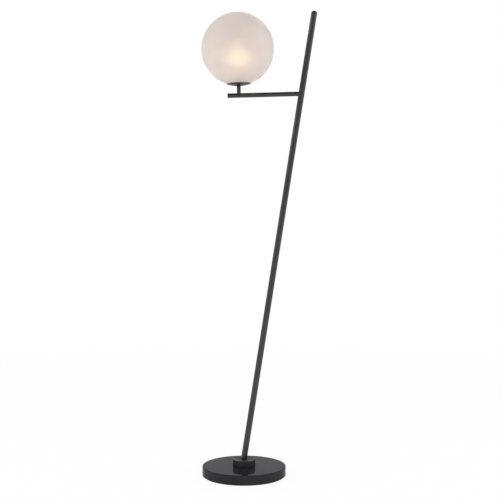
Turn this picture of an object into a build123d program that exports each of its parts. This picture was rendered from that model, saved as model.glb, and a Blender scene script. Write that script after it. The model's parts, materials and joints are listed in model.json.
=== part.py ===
from build123d import *

import os
from math import asin, cos, degrees, radians, sin, sqrt

# Floor lamp: round stone base, leaning tube pole, short side arm, and an upright
# glass globe on a stem at the end of the arm. Millimetres, +Z up, origin on the
# floor under the centre of the base, +X the way the pole leans.

# Base
BASE_DIAMETER = 280.0
SLAB_THICKNESS = 31.6
SLAB_EDGE_RADIUS = 2.5
SLAB_FOOT_CHAMFER = 1.5
FELT_THICKNESS = 2.0
FELT_INSET = 4.0
RECESS_DIAMETER = 84.0
RECESS_DEPTH = 22.0
STONE_CLEARANCE = 0.5

# Collar on the base
COLLAR_DIAMETER = 75.0
COLLAR_HEIGHT = 24.4
COLLAR_FLOOR = 6.2
COLLAR_RIM = 2.0
SET_SCREW_DIAMETER = 5.0
SET_SCREW_LENGTH = 12.0
SET_SCREW_KEY = 2.5
SET_SCREW_KEY_DEPTH = 3.0

# Pole
POLE_LEAN = 8.9
POLE_DIAMETER = 20.0
POLE_WALL = 1.5
POLE_LENGTH = 1500.0
TIP_SPIGOT = 18.0

# Arm
ARM_HEIGHT = 1233.0
ARM_DIAMETER = 15.0
ARM_LENGTH = 245.5
ARM_DROOP = 1.5
ARM_THREAD = 14.0
ARM_CAP = 2.5
ARM_CAP_SPIGOT = 10.0
ARM_CAP_CHAMFER = 0.4
ANCHOR_LENGTH = 44.0
ANCHOR_WALL = 2.5

# Stem and gallery under the globe
STEM_SETBACK = 38.0
STEM_DIAMETER = 13.0
STEM_LENGTH = 24.0
DISH_DIAMETER = 81.0
DISH_WALL = 0.9
DISH_LEDGE = 0.5
DISH_FLOOR_DIAMETER = 52.0
SEAT_RING_THICKNESS = 0.4
SEAT_RING_WIDTH = 4.0
SEAT_RING_INSET = 1.5
SEAT_RING_GAP = 0.1
SPRING_HUB_DIAMETER = 44.0
SPRING_GAUGE = 0.8
SPRING_WIDTH = 9.0
SPRING_LEGS = 3
SPRING_FOOT = 6.2
SPRING_WAIST = 1.5
SPRING_GRIP = 1.3
SPRING_BULGE_RISE = 5.8
SPRING_TIP_RISE = 14.8
SPRING_TIP_INSET = 2.7
SPRING_BEND = 1.6

# Globe
GLOBE_DIAMETER = 240.0
GLOBE_WALL = 3.0
GLOBE_OPENING = 65.0
GLOBE_LIP_CHAMFER = 0.8
GLOBE_GAP = 0.3

# Inner lead and the hollow threaded tubes that it runs through
LEAD_DIAMETER = 4.2
LEAD_ROOM = 1.4
LEAD_BEND_CLEARANCE = 0.3
LEAD_LEAN_BEND = 100.0
NIPPLE_WALL = 1.5
NIPPLE_TAIL = 2.0
NUT_ACROSS_FLATS = 17.0
BASE_NUT_HEIGHT = 6.0
BASE_WASHER_DIAMETER = 40.0
BASE_WASHER_THICKNESS = 2.0
GALLERY_NUT_HEIGHT = 5.0
GALLERY_WASHER_DIAMETER = 20.0
GALLERY_WASHER_THICKNESS = 1.2

# Cable inlet at the back of the base
CORD_HOLE = 6.5
GROMMET_DIAMETER = 10.0
GROMMET_LENGTH = 16.0
GROMMET_FLANGE_DIAMETER = 15.0
GROMMET_FLANGE = 2.0
GROMMET_INSET = 0.5
BLOCK_WIDTH = 20.0
BLOCK_DEPTH = 16.0
BLOCK_HEIGHT = 12.0
BLOCK_CLEARANCE = 4.0
BLOCK_SCREW_DIAMETER = 4.0
BLOCK_SCREW_DEPTH = 3.0
BLOCK_CHAMFER = 1.0

# Lampholder for a 27 mm screw cap
HOLDER_DIAMETER = 40.0
HOLDER_WALL = 2.0
HOLDER_FOOT_DIAMETER = 24.0
HOLDER_FOOT_WALL = 3.0
HOLDER_FLANK = 9.0
HOLDER_CAP_HEIGHT = 20.0
HOLDER_HEIGHT = 57.0
HOLDER_STEP = 2.0
HOLDER_RIM_HEIGHT = 5.0
HOLDER_RIM_CHAMFER = 1.0
INSERT_BOTTOM = 12.0
INSERT_HEIGHT = 12.0
NIPPLE_ENTRY = 6.0
SHELL_WALL = 0.6
SHELL_HEIGHT = 22.0
SHELL_FLOOR_WIDTH = 4.5
SHELL_CLEARANCE = 0.3
TONGUE_GAUGE = 0.5
TONGUE_WIDTH = 5.0
TONGUE_REACH = 8.0
TONGUE_TIP = 3.5
TONGUE_BEND = 1.0
TERMINAL_SCREW_DIAMETER = 3.0
TERMINAL_SCREW_LENGTH = 6.0
TERMINAL_HEAD_DIAMETER = 5.0
TERMINAL_HEAD = 1.5
TERMINAL_OFFSET = 10.0

# Bulb
BULB_DIAMETER = 45.0
BULB_LENGTH = 75.0
BULB_WALL = 1.0
BULB_NECK_DIAMETER = 26.8
BULB_NECK_ROUND = 10.0
BULB_CAP_DIAMETER = 26.4
BULB_CAP_HEIGHT = 20.4
BULB_CAP_WALL = 0.8
BULB_CAP_LIP = 1.5
INSULATOR_HEIGHT = 4.5
CONTACT_DIAMETER = 9.6
CONTACT_HEIGHT = 1.6
CONTACT_RISE = 5.5
CONTACT_GAP = 0.2

# Radial gap of plugs, threads and bushes that stay in one piece's bore
FIT = 0.05

os.makedirs("parts", exist_ok=True)

pole_radius = POLE_DIAMETER / 2
pole_bore = pole_radius - POLE_WALL
arm_radius = ARM_DIAMETER / 2
stem_radius = STEM_DIAMETER / 2
lead_radius = LEAD_DIAMETER / 2
nipple_bore = lead_radius + LEAD_ROOM
nipple_radius = nipple_bore + NIPPLE_WALL
arm_bore = nipple_bore
anchor_bore = pole_bore - FIT - ANCHOR_WALL
globe_radius = GLOBE_DIAMETER / 2
opening_radius = GLOBE_OPENING / 2

# Heights in the base
slab_bottom = FELT_THICKNESS
recess_ceiling = slab_bottom + RECESS_DEPTH
slab_top = slab_bottom + SLAB_THICKNESS
collar_top = slab_top + COLLAR_HEIGHT
cable_height = slab_bottom + RECESS_DEPTH / 2
washer_bottom = recess_ceiling - BASE_WASHER_THICKNESS
base_nut_bottom = washer_bottom - BASE_NUT_HEIGHT
base_nipple_bottom = base_nut_bottom - NIPPLE_TAIL

# Pole frame: the axis crosses the middle of the collar's top
lean = radians(POLE_LEAN)
pole_direction = Vector(sin(lean), 0, cos(lean))
pole_foot = Vector(0, 0, collar_top)
pole_plane = Plane(origin=pole_foot, x_dir=(cos(lean), 0, -sin(lean)), z_dir=pole_direction)
pole_section = Plane(origin=pole_foot, x_dir=pole_plane.x_dir, z_dir=(0, -1, 0))
pole_axis = Axis(pole_foot, pole_direction)
socket_depth = (COLLAR_HEIGHT - COLLAR_FLOOR) / cos(lean)
base_nipple_top = slab_top + COLLAR_FLOOR - pole_radius * sin(lean)

# Arm frame: from the pole's axis out to the free end
droop = radians(ARM_DROOP)
arm_direction = Vector(-cos(droop), 0, -sin(droop))
head_direction = Vector(-sin(droop), 0, cos(droop))
arm_root = pole_foot + pole_direction * ARM_HEIGHT
arm_plane = Plane(origin=arm_root, x_dir=(0, -1, 0), z_dir=arm_direction)
stem_reach = ARM_LENGTH - STEM_SETBACK

# Head frame: up the stem from the arm's axis, square to the arm
stem_foot = arm_root + arm_direction * stem_reach
head_plane = Plane(origin=stem_foot, x_dir=-arm_direction, z_dir=head_direction)
head_section = Plane(origin=stem_foot, x_dir=-arm_direction, z_dir=(0, -1, 0))
head_axis = Axis(stem_foot, head_direction)

# Heights up the stem. Dish, seat ring and glass are spheres about one centre.
dish_base = arm_radius + STEM_LENGTH
seat_inner = globe_radius + GLOBE_GAP
seat_outer = seat_inner + SEAT_RING_THICKNESS
dish_inner = seat_outer + SEAT_RING_GAP
dish_outer = dish_inner + DISH_WALL
dish_land = stem_radius + DISH_LEDGE
globe_center = dish_base + sqrt(dish_outer**2 - dish_land**2)
land_angle = degrees(asin(dish_land / dish_outer))
rim_angle = degrees(asin(DISH_DIAMETER / 2 / dish_outer))
floor_angle = degrees(asin(DISH_FLOOR_DIAMETER / 2 / dish_inner))
dish_floor = globe_center - dish_inner * cos(radians(floor_angle))
gallery_washer_bottom = dish_floor + SPRING_GAUGE
gallery_nut_bottom = gallery_washer_bottom + GALLERY_WASHER_THICKNESS
holder_base = gallery_nut_bottom + GALLERY_NUT_HEIGHT

# Lip of the globe's opening, cut towards the centre of the sphere
opening_angle = asin(opening_radius / globe_radius)
lip_radius = (globe_radius - GLOBE_WALL) * sin(opening_angle)
lip_height = globe_center - (globe_radius - GLOBE_WALL) * cos(opening_angle)

# Lampholder and bulb heights
holder_radius = HOLDER_DIAMETER / 2
holder_bore = holder_radius - HOLDER_WALL
insert_bottom = holder_base + INSERT_BOTTOM
insert_top = insert_bottom + INSERT_HEIGHT
stem_nipple_top = holder_base + HOLDER_FOOT_WALL + NIPPLE_ENTRY
bulb_cap_radius = BULB_CAP_DIAMETER / 2
shell_inner = bulb_cap_radius + SHELL_CLEARANCE
shell_outer = shell_inner + SHELL_WALL
bulb_tip = insert_top + CONTACT_RISE
insulator_bottom = bulb_tip + CONTACT_HEIGHT
bulb_cap_bottom = insulator_bottom + INSULATOR_HEIGHT
bulb_cap_top = bulb_cap_bottom + BULB_CAP_HEIGHT
bulb_center = bulb_tip + BULB_LENGTH - BULB_DIAMETER / 2

# Cable inlet: the round hole runs along +Y into the recess
cable_plane = Plane(origin=(0, 0, cable_height), x_dir=(1, 0, 0), z_dir=(0, 1, 0))
grommet_face = BASE_DIAMETER / 2 - GROMMET_INSET
grommet_seat = grommet_face - GROMMET_FLANGE
block_back = sqrt((RECESS_DIAMETER / 2) ** 2 - (BLOCK_WIDTH / 2) ** 2) - BLOCK_CLEARANCE
block_front = block_back - BLOCK_DEPTH

# Base slab: stone disc with eased edges, hollowed under the middle
with BuildPart() as base_slab:
    with BuildSketch(Plane.XY.offset(slab_bottom)):
        Circle(BASE_DIAMETER / 2)
    extrude(amount=SLAB_THICKNESS)
    fillet(base_slab.edges().group_by(Axis.Z)[-1], SLAB_EDGE_RADIUS)
    chamfer(base_slab.edges().group_by(Axis.Z)[0], SLAB_FOOT_CHAMFER)
    with BuildSketch(Plane.XY.offset(slab_bottom)):
        Circle(RECESS_DIAMETER / 2)
    extrude(amount=RECESS_DEPTH, mode=Mode.SUBTRACT)
    with BuildSketch(Plane.XY.offset(recess_ceiling)):
        Circle(nipple_radius + STONE_CLEARANCE)
    extrude(amount=SLAB_THICKNESS, mode=Mode.SUBTRACT)
    with BuildSketch(cable_plane):
        Circle(GROMMET_DIAMETER / 2 + FIT)
    extrude(amount=BASE_DIAMETER / 2, mode=Mode.SUBTRACT)
    with BuildSketch(cable_plane.offset(grommet_seat)):
        Circle(GROMMET_FLANGE_DIAMETER / 2 + FIT)
    extrude(amount=GROMMET_FLANGE_DIAMETER, mode=Mode.SUBTRACT)
base_slab.part.label = "base_slab"
export_step(base_slab.part, "parts/base_slab.step")

# Felt under the slab, which also closes the recess
with BuildPart() as base_felt:
    with BuildSketch():
        Circle(BASE_DIAMETER / 2 - FELT_INSET)
    extrude(amount=FELT_THICKNESS)
base_felt.part.label = "base_felt"
export_step(base_felt.part, "parts/base_felt.step")

# Cable grommet: flanged rubber bush, flush in the back of the slab
with BuildPart() as cable_grommet:
    with BuildSketch(cable_plane.offset(grommet_seat)):
        Circle(GROMMET_FLANGE_DIAMETER / 2)
    extrude(amount=GROMMET_FLANGE)
    with BuildSketch(cable_plane.offset(grommet_face - GROMMET_LENGTH)):
        Circle(GROMMET_DIAMETER / 2)
    extrude(amount=GROMMET_LENGTH - GROMMET_FLANGE)
    with BuildSketch(cable_plane.offset(grommet_face - GROMMET_LENGTH)):
        Circle(CORD_HOLE / 2)
    extrude(amount=GROMMET_LENGTH, mode=Mode.SUBTRACT)
cable_grommet.part.label = "cable_grommet"
export_step(cable_grommet.part, "parts/cable_grommet.step")

# Terminal block: two-pole block on the floor of the recess
with BuildPart() as terminal_block:
    with BuildSketch(Plane.XY.offset(slab_bottom)):
        with Locations((0, (block_front + block_back) / 2)):
            Rectangle(BLOCK_WIDTH, BLOCK_DEPTH)
    extrude(amount=BLOCK_HEIGHT)
    chamfer(terminal_block.edges().filter_by(Axis.Z), BLOCK_CHAMFER)
    with BuildSketch(Plane.XY.offset(slab_bottom + BLOCK_HEIGHT)):
        with Locations((0, (block_front + block_back) / 2)):
            with GridLocations(BLOCK_WIDTH / 2, BLOCK_DEPTH / 2, 2, 2):
                Circle(BLOCK_SCREW_DIAMETER / 2)
    extrude(amount=-BLOCK_SCREW_DEPTH, mode=Mode.SUBTRACT)
terminal_block.part.label = "terminal_block"
export_step(terminal_block.part, "parts/terminal_block.step")

# Collar: turned disc with a leaning socket for the pole and a set screw at the back
set_screw_plane = Plane(
    origin=pole_foot - pole_direction * (socket_depth / 2), x_dir=(1, 0, 0), z_dir=(0, 1, 0)
)
with BuildPart() as base_collar:
    with BuildSketch(Plane.XY.offset(slab_top)):
        Circle(COLLAR_DIAMETER / 2)
    extrude(amount=COLLAR_HEIGHT)
    chamfer(base_collar.edges().group_by(Axis.Z)[-1], COLLAR_RIM)
    with BuildSketch(pole_plane.offset(-socket_depth)):
        Circle(pole_radius + FIT)
    extrude(amount=2 * socket_depth, mode=Mode.SUBTRACT)
    with BuildSketch(Plane.XY.offset(slab_top)):
        Circle(nipple_radius + FIT)
    extrude(amount=COLLAR_FLOOR + pole_radius * sin(lean), mode=Mode.SUBTRACT)
    with BuildSketch(set_screw_plane):
        Circle(SET_SCREW_DIAMETER / 2 + FIT)
    extrude(amount=COLLAR_DIAMETER / 2, mode=Mode.SUBTRACT)
base_collar.part.label = "base_collar"
export_step(base_collar.part, "parts/base_collar.step")

# Set screw: pinches the pole in its socket
with BuildPart() as collar_set_screw:
    with BuildSketch(set_screw_plane.offset(pole_radius)):
        Circle(SET_SCREW_DIAMETER / 2)
    extrude(amount=SET_SCREW_LENGTH)
    with BuildSketch(set_screw_plane.offset(pole_radius + SET_SCREW_LENGTH)):
        RegularPolygon(SET_SCREW_KEY / 2, 6, major_radius=False)
    extrude(amount=-SET_SCREW_KEY_DEPTH, mode=Mode.SUBTRACT)
collar_set_screw.part.label = "collar_set_screw"
export_step(collar_set_screw.part, "parts/collar_set_screw.step")

# Base nipple, washer and nut: clamp the collar to the slab
with BuildPart() as base_nipple:
    with BuildSketch(Plane.XY.offset(base_nipple_bottom)):
        Circle(nipple_radius)
        Circle(nipple_bore, mode=Mode.SUBTRACT)
    extrude(amount=base_nipple_top - base_nipple_bottom)
base_nipple.part.label = "base_nipple"
export_step(base_nipple.part, "parts/base_nipple.step")

with BuildPart() as base_washer:
    with BuildSketch(Plane.XY.offset(washer_bottom)):
        Circle(BASE_WASHER_DIAMETER / 2)
        Circle(nipple_radius + FIT, mode=Mode.SUBTRACT)
    extrude(amount=BASE_WASHER_THICKNESS)
base_washer.part.label = "base_washer"
export_step(base_washer.part, "parts/base_washer.step")

with BuildPart() as base_nut:
    with BuildSketch(Plane.XY.offset(base_nut_bottom)):
        RegularPolygon(NUT_ACROSS_FLATS / 2, 6, major_radius=False)
        Circle(nipple_radius + FIT, mode=Mode.SUBTRACT)
    extrude(amount=BASE_NUT_HEIGHT)
base_nut.part.label = "base_nut"
export_step(base_nut.part, "parts/base_nut.step")

# Pole: leaning tube, with a hole on the arm's side
with BuildPart() as pole_tube:
    with BuildSketch(pole_plane.offset(-socket_depth)):
        Circle(pole_radius)
        Circle(pole_bore, mode=Mode.SUBTRACT)
    extrude(amount=socket_depth + POLE_LENGTH)
    with BuildSketch(arm_plane):
        Circle(nipple_radius + FIT)
    extrude(amount=POLE_DIAMETER, mode=Mode.SUBTRACT)
pole_tube.part.label = "pole_tube"
export_step(pole_tube.part, "parts/pole_tube.step")

# Pole tip: half-round plug with a spigot
with BuildPart() as pole_tip:
    with BuildSketch(pole_section):
        with BuildLine():
            dome = CenterArc((0, POLE_LENGTH), pole_radius, 0, 90)
            Polyline(
                dome @ 1,
                (0, POLE_LENGTH - TIP_SPIGOT),
                (pole_bore - FIT, POLE_LENGTH - TIP_SPIGOT),
                (pole_bore - FIT, POLE_LENGTH),
                dome @ 0,
            )
        make_face()
    revolve(axis=pole_axis)
pole_tip.part.label = "pole_tip"
export_step(pole_tip.part, "parts/pole_tip.step")

# Arm anchor: slug inside the pole, bored for the lead and tapped on the arm's side
with BuildPart() as arm_anchor:
    with BuildSketch(pole_plane.offset(ARM_HEIGHT - ANCHOR_LENGTH / 2)):
        Circle(pole_bore - FIT)
    extrude(amount=ANCHOR_LENGTH)
    with BuildSketch(pole_plane.offset(ARM_HEIGHT - ANCHOR_LENGTH / 2)):
        Circle(anchor_bore)
    extrude(amount=ANCHOR_LENGTH / 2 + nipple_radius, mode=Mode.SUBTRACT)
    with BuildSketch(arm_plane):
        Circle(nipple_radius + FIT)
    extrude(amount=POLE_DIAMETER, mode=Mode.SUBTRACT)
arm_anchor.part.label = "arm_anchor"
export_step(arm_anchor.part, "parts/arm_anchor.step")

# Arm nipple: pulls the arm against the pole
with BuildPart() as arm_nipple:
    with BuildSketch(arm_plane.offset(anchor_bore)):
        Circle(nipple_radius)
        Circle(nipple_bore, mode=Mode.SUBTRACT)
    extrude(amount=pole_radius + ARM_THREAD - anchor_bore)
arm_nipple.part.label = "arm_nipple"
export_step(arm_nipple.part, "parts/arm_nipple.step")

# Arm bar: drilled through for the lead, coped round the pole, tapped for both nipples
with BuildPart() as arm_bar:
    with BuildSketch(arm_plane):
        Circle(arm_radius)
        Circle(arm_bore, mode=Mode.SUBTRACT)
    extrude(amount=ARM_LENGTH - ARM_CAP)
    with BuildSketch(arm_plane):
        Circle(nipple_radius + FIT)
    extrude(amount=pole_radius + ARM_THREAD, mode=Mode.SUBTRACT)
    with BuildSketch(head_plane):
        Circle(nipple_bore)
    extrude(amount=ARM_DIAMETER, mode=Mode.SUBTRACT)
    with BuildSketch(head_plane.offset(arm_bore)):
        Circle(nipple_radius + FIT)
    extrude(amount=ARM_DIAMETER, mode=Mode.SUBTRACT)
    with BuildSketch(pole_plane.offset(ARM_HEIGHT - 2 * ARM_DIAMETER)):
        Circle(pole_radius)
    extrude(amount=4 * ARM_DIAMETER, mode=Mode.SUBTRACT)
arm_bar.part.label = "arm_bar"
export_step(arm_bar.part, "parts/arm_bar.step")

# Arm end cap: flat disc with a spigot in the arm's bore
with BuildPart() as arm_end_cap:
    with BuildSketch(arm_plane.offset(ARM_LENGTH - ARM_CAP)):
        Circle(arm_radius)
    extrude(amount=ARM_CAP)
    chamfer(arm_end_cap.edges().sort_by(Axis(arm_root, arm_direction))[-1], ARM_CAP_CHAMFER)
    with BuildSketch(arm_plane.offset(ARM_LENGTH - ARM_CAP)):
        Circle(arm_bore - FIT)
    extrude(amount=-ARM_CAP_SPIGOT)
arm_end_cap.part.label = "arm_end_cap"
export_step(arm_end_cap.part, "parts/arm_end_cap.step")

# Stem: short tube with a saddle foot on the round arm
with BuildPart() as stem_tube:
    with BuildSketch(head_plane):
        Circle(stem_radius)
        Circle(nipple_radius + FIT, mode=Mode.SUBTRACT)
    extrude(amount=dish_base)
    with BuildSketch(arm_plane.offset(stem_reach - STEM_DIAMETER)):
        Circle(arm_radius)
    extrude(amount=2 * STEM_DIAMETER, mode=Mode.SUBTRACT)
stem_tube.part.label = "stem_tube"
export_step(stem_tube.part, "parts/stem_tube.step")

# Stem nipple: ties arm, stem, dish and lampholder together
with BuildPart() as stem_nipple:
    with BuildSketch(head_plane.offset(arm_bore)):
        Circle(nipple_radius)
        Circle(nipple_bore, mode=Mode.SUBTRACT)
    extrude(amount=stem_nipple_top - arm_bore)
stem_nipple.part.label = "stem_nipple"
export_step(stem_nipple.part, "parts/stem_nipple.step")

# Gallery dish: spherical dish with a flat floor inside and a flat land on the stem
with BuildPart() as gallery_dish:
    with BuildSketch(head_section):
        with BuildLine():
            outside = CenterArc(
                (0, globe_center), dish_outer, land_angle - 90, rim_angle - land_angle
            )
            inside = CenterArc(
                (0, globe_center), dish_inner, floor_angle - 90, rim_angle - floor_angle
            )
            Line(outside @ 1, inside @ 1)
            Polyline(
                inside @ 0,
                (nipple_radius + FIT, dish_floor),
                (nipple_radius + FIT, dish_base),
                outside @ 0,
            )
        make_face()
    revolve(axis=head_axis)
gallery_dish.part.label = "gallery_dish"
export_step(gallery_dish.part, "parts/gallery_dish.step")

# Seat ring: thin silicone band between the dish and the glass
ring_start = opening_radius + SEAT_RING_INSET
ring_low = degrees(asin(ring_start / seat_outer))
ring_high = degrees(asin((ring_start + SEAT_RING_WIDTH) / seat_outer))
with BuildPart() as globe_seat_ring:
    with BuildSketch(head_section):
        with BuildLine():
            under = CenterArc((0, globe_center), seat_outer, ring_low - 90, ring_high - ring_low)
            over = CenterArc((0, globe_center), seat_inner, ring_low - 90, ring_high - ring_low)
            Line(under @ 0, over @ 0)
            Line(under @ 1, over @ 1)
        make_face()
    revolve(axis=head_axis)
globe_seat_ring.part.label = "globe_seat_ring"
export_step(globe_seat_ring.part, "parts/globe_seat_ring.step")

# Globe spring: hub on the dish's floor, and legs that bulge out above the globe's lip
leg_floor = dish_floor + SPRING_GAUGE / 2
with BuildPart() as globe_spring:
    with BuildSketch(head_plane.offset(dish_floor)):
        Circle(SPRING_HUB_DIAMETER / 2)
        Circle(nipple_radius + FIT, mode=Mode.SUBTRACT)
    extrude(amount=SPRING_GAUGE)
    for leg in range(SPRING_LEGS):
        outward = head_plane.x_dir.rotate(head_axis, leg * 360 / SPRING_LEGS)
        leg_section = Plane(origin=stem_foot, x_dir=outward, z_dir=outward.cross(head_direction))
        with BuildSketch(leg_section):
            with BuildLine():
                FilletPolyline(
                    (SPRING_HUB_DIAMETER / 2 - SPRING_WIDTH / 2, leg_floor),
                    (lip_radius - SPRING_FOOT, leg_floor),
                    (lip_radius - SPRING_WAIST, lip_height),
                    (lip_radius + SPRING_GRIP, lip_height + SPRING_BULGE_RISE),
                    (lip_radius - SPRING_TIP_INSET, lip_height + SPRING_TIP_RISE),
                    radius=SPRING_BEND,
                )
            trace(line_width=SPRING_GAUGE)
        extrude(amount=SPRING_WIDTH / 2, both=True)
globe_spring.part.label = "globe_spring"
export_step(globe_spring.part, "parts/globe_spring.step")

# Gallery washer and nut: clamp spring and dish down on the stem
with BuildPart() as gallery_washer:
    with BuildSketch(head_plane.offset(gallery_washer_bottom)):
        Circle(GALLERY_WASHER_DIAMETER / 2)
        Circle(nipple_radius + FIT, mode=Mode.SUBTRACT)
    extrude(amount=GALLERY_WASHER_THICKNESS)
gallery_washer.part.label = "gallery_washer"
export_step(gallery_washer.part, "parts/gallery_washer.step")

with BuildPart() as gallery_nut:
    with BuildSketch(head_plane.offset(gallery_nut_bottom)):
        RegularPolygon(NUT_ACROSS_FLATS / 2, 6, major_radius=False)
        Circle(nipple_radius + FIT, mode=Mode.SUBTRACT)
    extrude(amount=GALLERY_NUT_HEIGHT)
gallery_nut.part.label = "gallery_nut"
export_step(gallery_nut.part, "parts/gallery_nut.step")

# Lampholder cap: flared cup, with a step inside that carries the insert
cap_flank = holder_base + HOLDER_FLANK
cap_top = holder_base + HOLDER_CAP_HEIGHT
with BuildPart() as holder_cap:
    with BuildSketch(head_section):
        with BuildLine():
            Polyline(
                (nipple_radius + FIT, holder_base),
                (HOLDER_FOOT_DIAMETER / 2, holder_base),
                (holder_radius, cap_flank),
                (holder_radius, cap_top),
                (holder_bore, cap_top),
                (holder_bore, insert_bottom),
                (holder_bore - HOLDER_STEP, insert_bottom),
                (holder_bore - HOLDER_STEP, cap_flank),
                (HOLDER_FOOT_DIAMETER / 2 - HOLDER_WALL, holder_base + HOLDER_FOOT_WALL),
                (nipple_radius + FIT, holder_base + HOLDER_FOOT_WALL),
                close=True,
            )
        make_face()
    revolve(axis=head_axis)
holder_cap.part.label = "holder_cap"
export_step(holder_cap.part, "parts/holder_cap.step")

# Lampholder skirt: tube over the contacts, drawn in at the rim
skirt_top = holder_base + HOLDER_HEIGHT
with BuildPart() as holder_skirt:
    with BuildSketch(head_section):
        with BuildLine():
            Polyline(
                (holder_radius, cap_top),
                (holder_radius, skirt_top),
                (shell_outer, skirt_top),
                (shell_outer, skirt_top - HOLDER_RIM_HEIGHT),
                (holder_bore, skirt_top - HOLDER_RIM_HEIGHT),
                (holder_bore, cap_top),
                close=True,
            )
        make_face()
    revolve(axis=head_axis)
    chamfer(holder_skirt.edges().group_by(head_axis)[-1], HOLDER_RIM_CHAMFER)
holder_skirt.part.label = "holder_skirt"
export_step(holder_skirt.part, "parts/holder_skirt.step")

# Lampholder insert: disc that bridges cap and skirt and carries the contacts
with BuildPart() as holder_insert:
    with BuildSketch(head_plane.offset(insert_bottom)):
        Circle(holder_bore - FIT)
    extrude(amount=INSERT_HEIGHT)
    with BuildSketch(head_plane.offset(insert_bottom)):
        with PolarLocations(TERMINAL_OFFSET, 2, start_angle=90):
            Circle(TERMINAL_SCREW_DIAMETER / 2 + FIT)
    extrude(amount=TERMINAL_SCREW_LENGTH, mode=Mode.SUBTRACT)
holder_insert.part.label = "holder_insert"
export_step(holder_insert.part, "parts/holder_insert.step")

# Terminal screws under the insert
with BuildPart() as holder_screws:
    with BuildSketch(head_plane.offset(insert_bottom)):
        with PolarLocations(TERMINAL_OFFSET, 2, start_angle=90):
            Circle(TERMINAL_HEAD_DIAMETER / 2)
    extrude(amount=-TERMINAL_HEAD)
    with BuildSketch(head_plane.offset(insert_bottom)):
        with PolarLocations(TERMINAL_OFFSET, 2, start_angle=90):
            Circle(TERMINAL_SCREW_DIAMETER / 2)
    extrude(amount=TERMINAL_SCREW_LENGTH)
holder_screws.part.label = "holder_screws"
export_step(holder_screws.part, "parts/holder_screws.step")

# Screw shell: brass cup with an open floor
with BuildPart() as holder_shell:
    with BuildSketch(head_section):
        with BuildLine():
            Polyline(
                (shell_outer - SHELL_FLOOR_WIDTH, insert_top),
                (shell_outer, insert_top),
                (shell_outer, insert_top + SHELL_HEIGHT),
                (shell_inner, insert_top + SHELL_HEIGHT),
                (shell_inner, insert_top + SHELL_WALL),
                (shell_outer - SHELL_FLOOR_WIDTH, insert_top + SHELL_WALL),
                close=True,
            )
        make_face()
    revolve(axis=head_axis)
holder_shell.part.label = "holder_shell"
export_step(holder_shell.part, "parts/holder_shell.step")

# Centre contact: sprung tongue inside the shell, just under the bulb's tip
tongue_floor = insert_top + TONGUE_GAUGE / 2
tongue_crest = bulb_tip - CONTACT_GAP - TONGUE_GAUGE / 2
with BuildPart() as holder_contact:
    with BuildSketch(head_section):
        with BuildLine():
            FilletPolyline(
                (-TONGUE_REACH, tongue_floor),
                (-TONGUE_TIP, tongue_floor),
                (0, tongue_crest),
                (TONGUE_TIP, tongue_crest),
                radius=TONGUE_BEND,
            )
        trace(line_width=TONGUE_GAUGE)
    extrude(amount=TONGUE_WIDTH / 2, both=True)
holder_contact.part.label = "holder_contact"
export_step(holder_contact.part, "parts/holder_contact.step")

# Supply lead: terminal block, up the base nipple, the pole and the arm, to the lampholder.
# A bend in two crossing bores is as large as their inner corner allows.
lead_bend = (nipple_bore * sqrt(2) - lead_radius - LEAD_BEND_CLEARANCE) / (sqrt(2) - 1)
lead_height = base_nipple_bottom - lead_bend
with BuildPart() as supply_lead:
    with BuildLine() as lead_route:
        FilletPolyline(
            (0, block_front, lead_height),
            (0, 0, lead_height),
            pole_foot,
            arm_root,
            stem_foot,
            stem_foot + head_direction * insert_bottom,
            radius=(lead_bend, LEAD_LEAN_BEND, lead_bend, lead_bend),
        )
    with BuildSketch(Plane(origin=lead_route.line @ 0, z_dir=lead_route.line % 0)):
        Circle(lead_radius)
    sweep(path=lead_route.line)
supply_lead.part.label = "supply_lead"
export_step(supply_lead.part, "parts/supply_lead.step")

# Globe: blown glass sphere with an eased lip round its opening
with BuildPart() as globe_shade:
    with BuildSketch(head_section) as globe_profile:
        with BuildLine():
            around = degrees(opening_angle) - 90
            outer_wall = CenterArc((0, globe_center), globe_radius, around, 90 - around)
            inner_wall = CenterArc((0, globe_center), globe_radius - GLOBE_WALL, around, 90 - around)
            Line(outer_wall @ 0, inner_wall @ 0)
            Line(outer_wall @ 1, inner_wall @ 1)
        make_face()
        chamfer(globe_profile.vertices().sort_by(Axis.X)[-2:], GLOBE_LIP_CHAMFER)
    revolve(axis=head_axis)
globe_shade.part.label = "globe_shade"
export_step(globe_shade.part, "parts/globe_shade.step")

# Bulb envelope: thin ball on a flared neck, open into the cap
with BuildPart() as bulb_envelope:
    with BuildSketch(head_section) as bulb_profile:
        with Locations((0, bulb_center)):
            Circle(BULB_DIAMETER / 2)
        with Locations((0, bulb_cap_top)):
            Rectangle(BULB_NECK_DIAMETER, bulb_center - bulb_cap_top, align=(Align.CENTER, Align.MIN))
        fillet(bulb_profile.vertices().group_by(Axis.Y)[1], BULB_NECK_ROUND)
        offset(amount=-BULB_WALL, mode=Mode.SUBTRACT)
        with Locations((0, bulb_cap_top)):
            Rectangle(BULB_NECK_DIAMETER - 2 * BULB_WALL, 2 * BULB_WALL, mode=Mode.SUBTRACT)
            Rectangle(
                BULB_LENGTH, 2 * BULB_LENGTH, align=(Align.MIN, Align.CENTER), mode=Mode.INTERSECT
            )
    revolve(axis=head_axis)
bulb_envelope.part.label = "bulb_envelope"
export_step(bulb_envelope.part, "parts/bulb_envelope.step")

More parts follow.
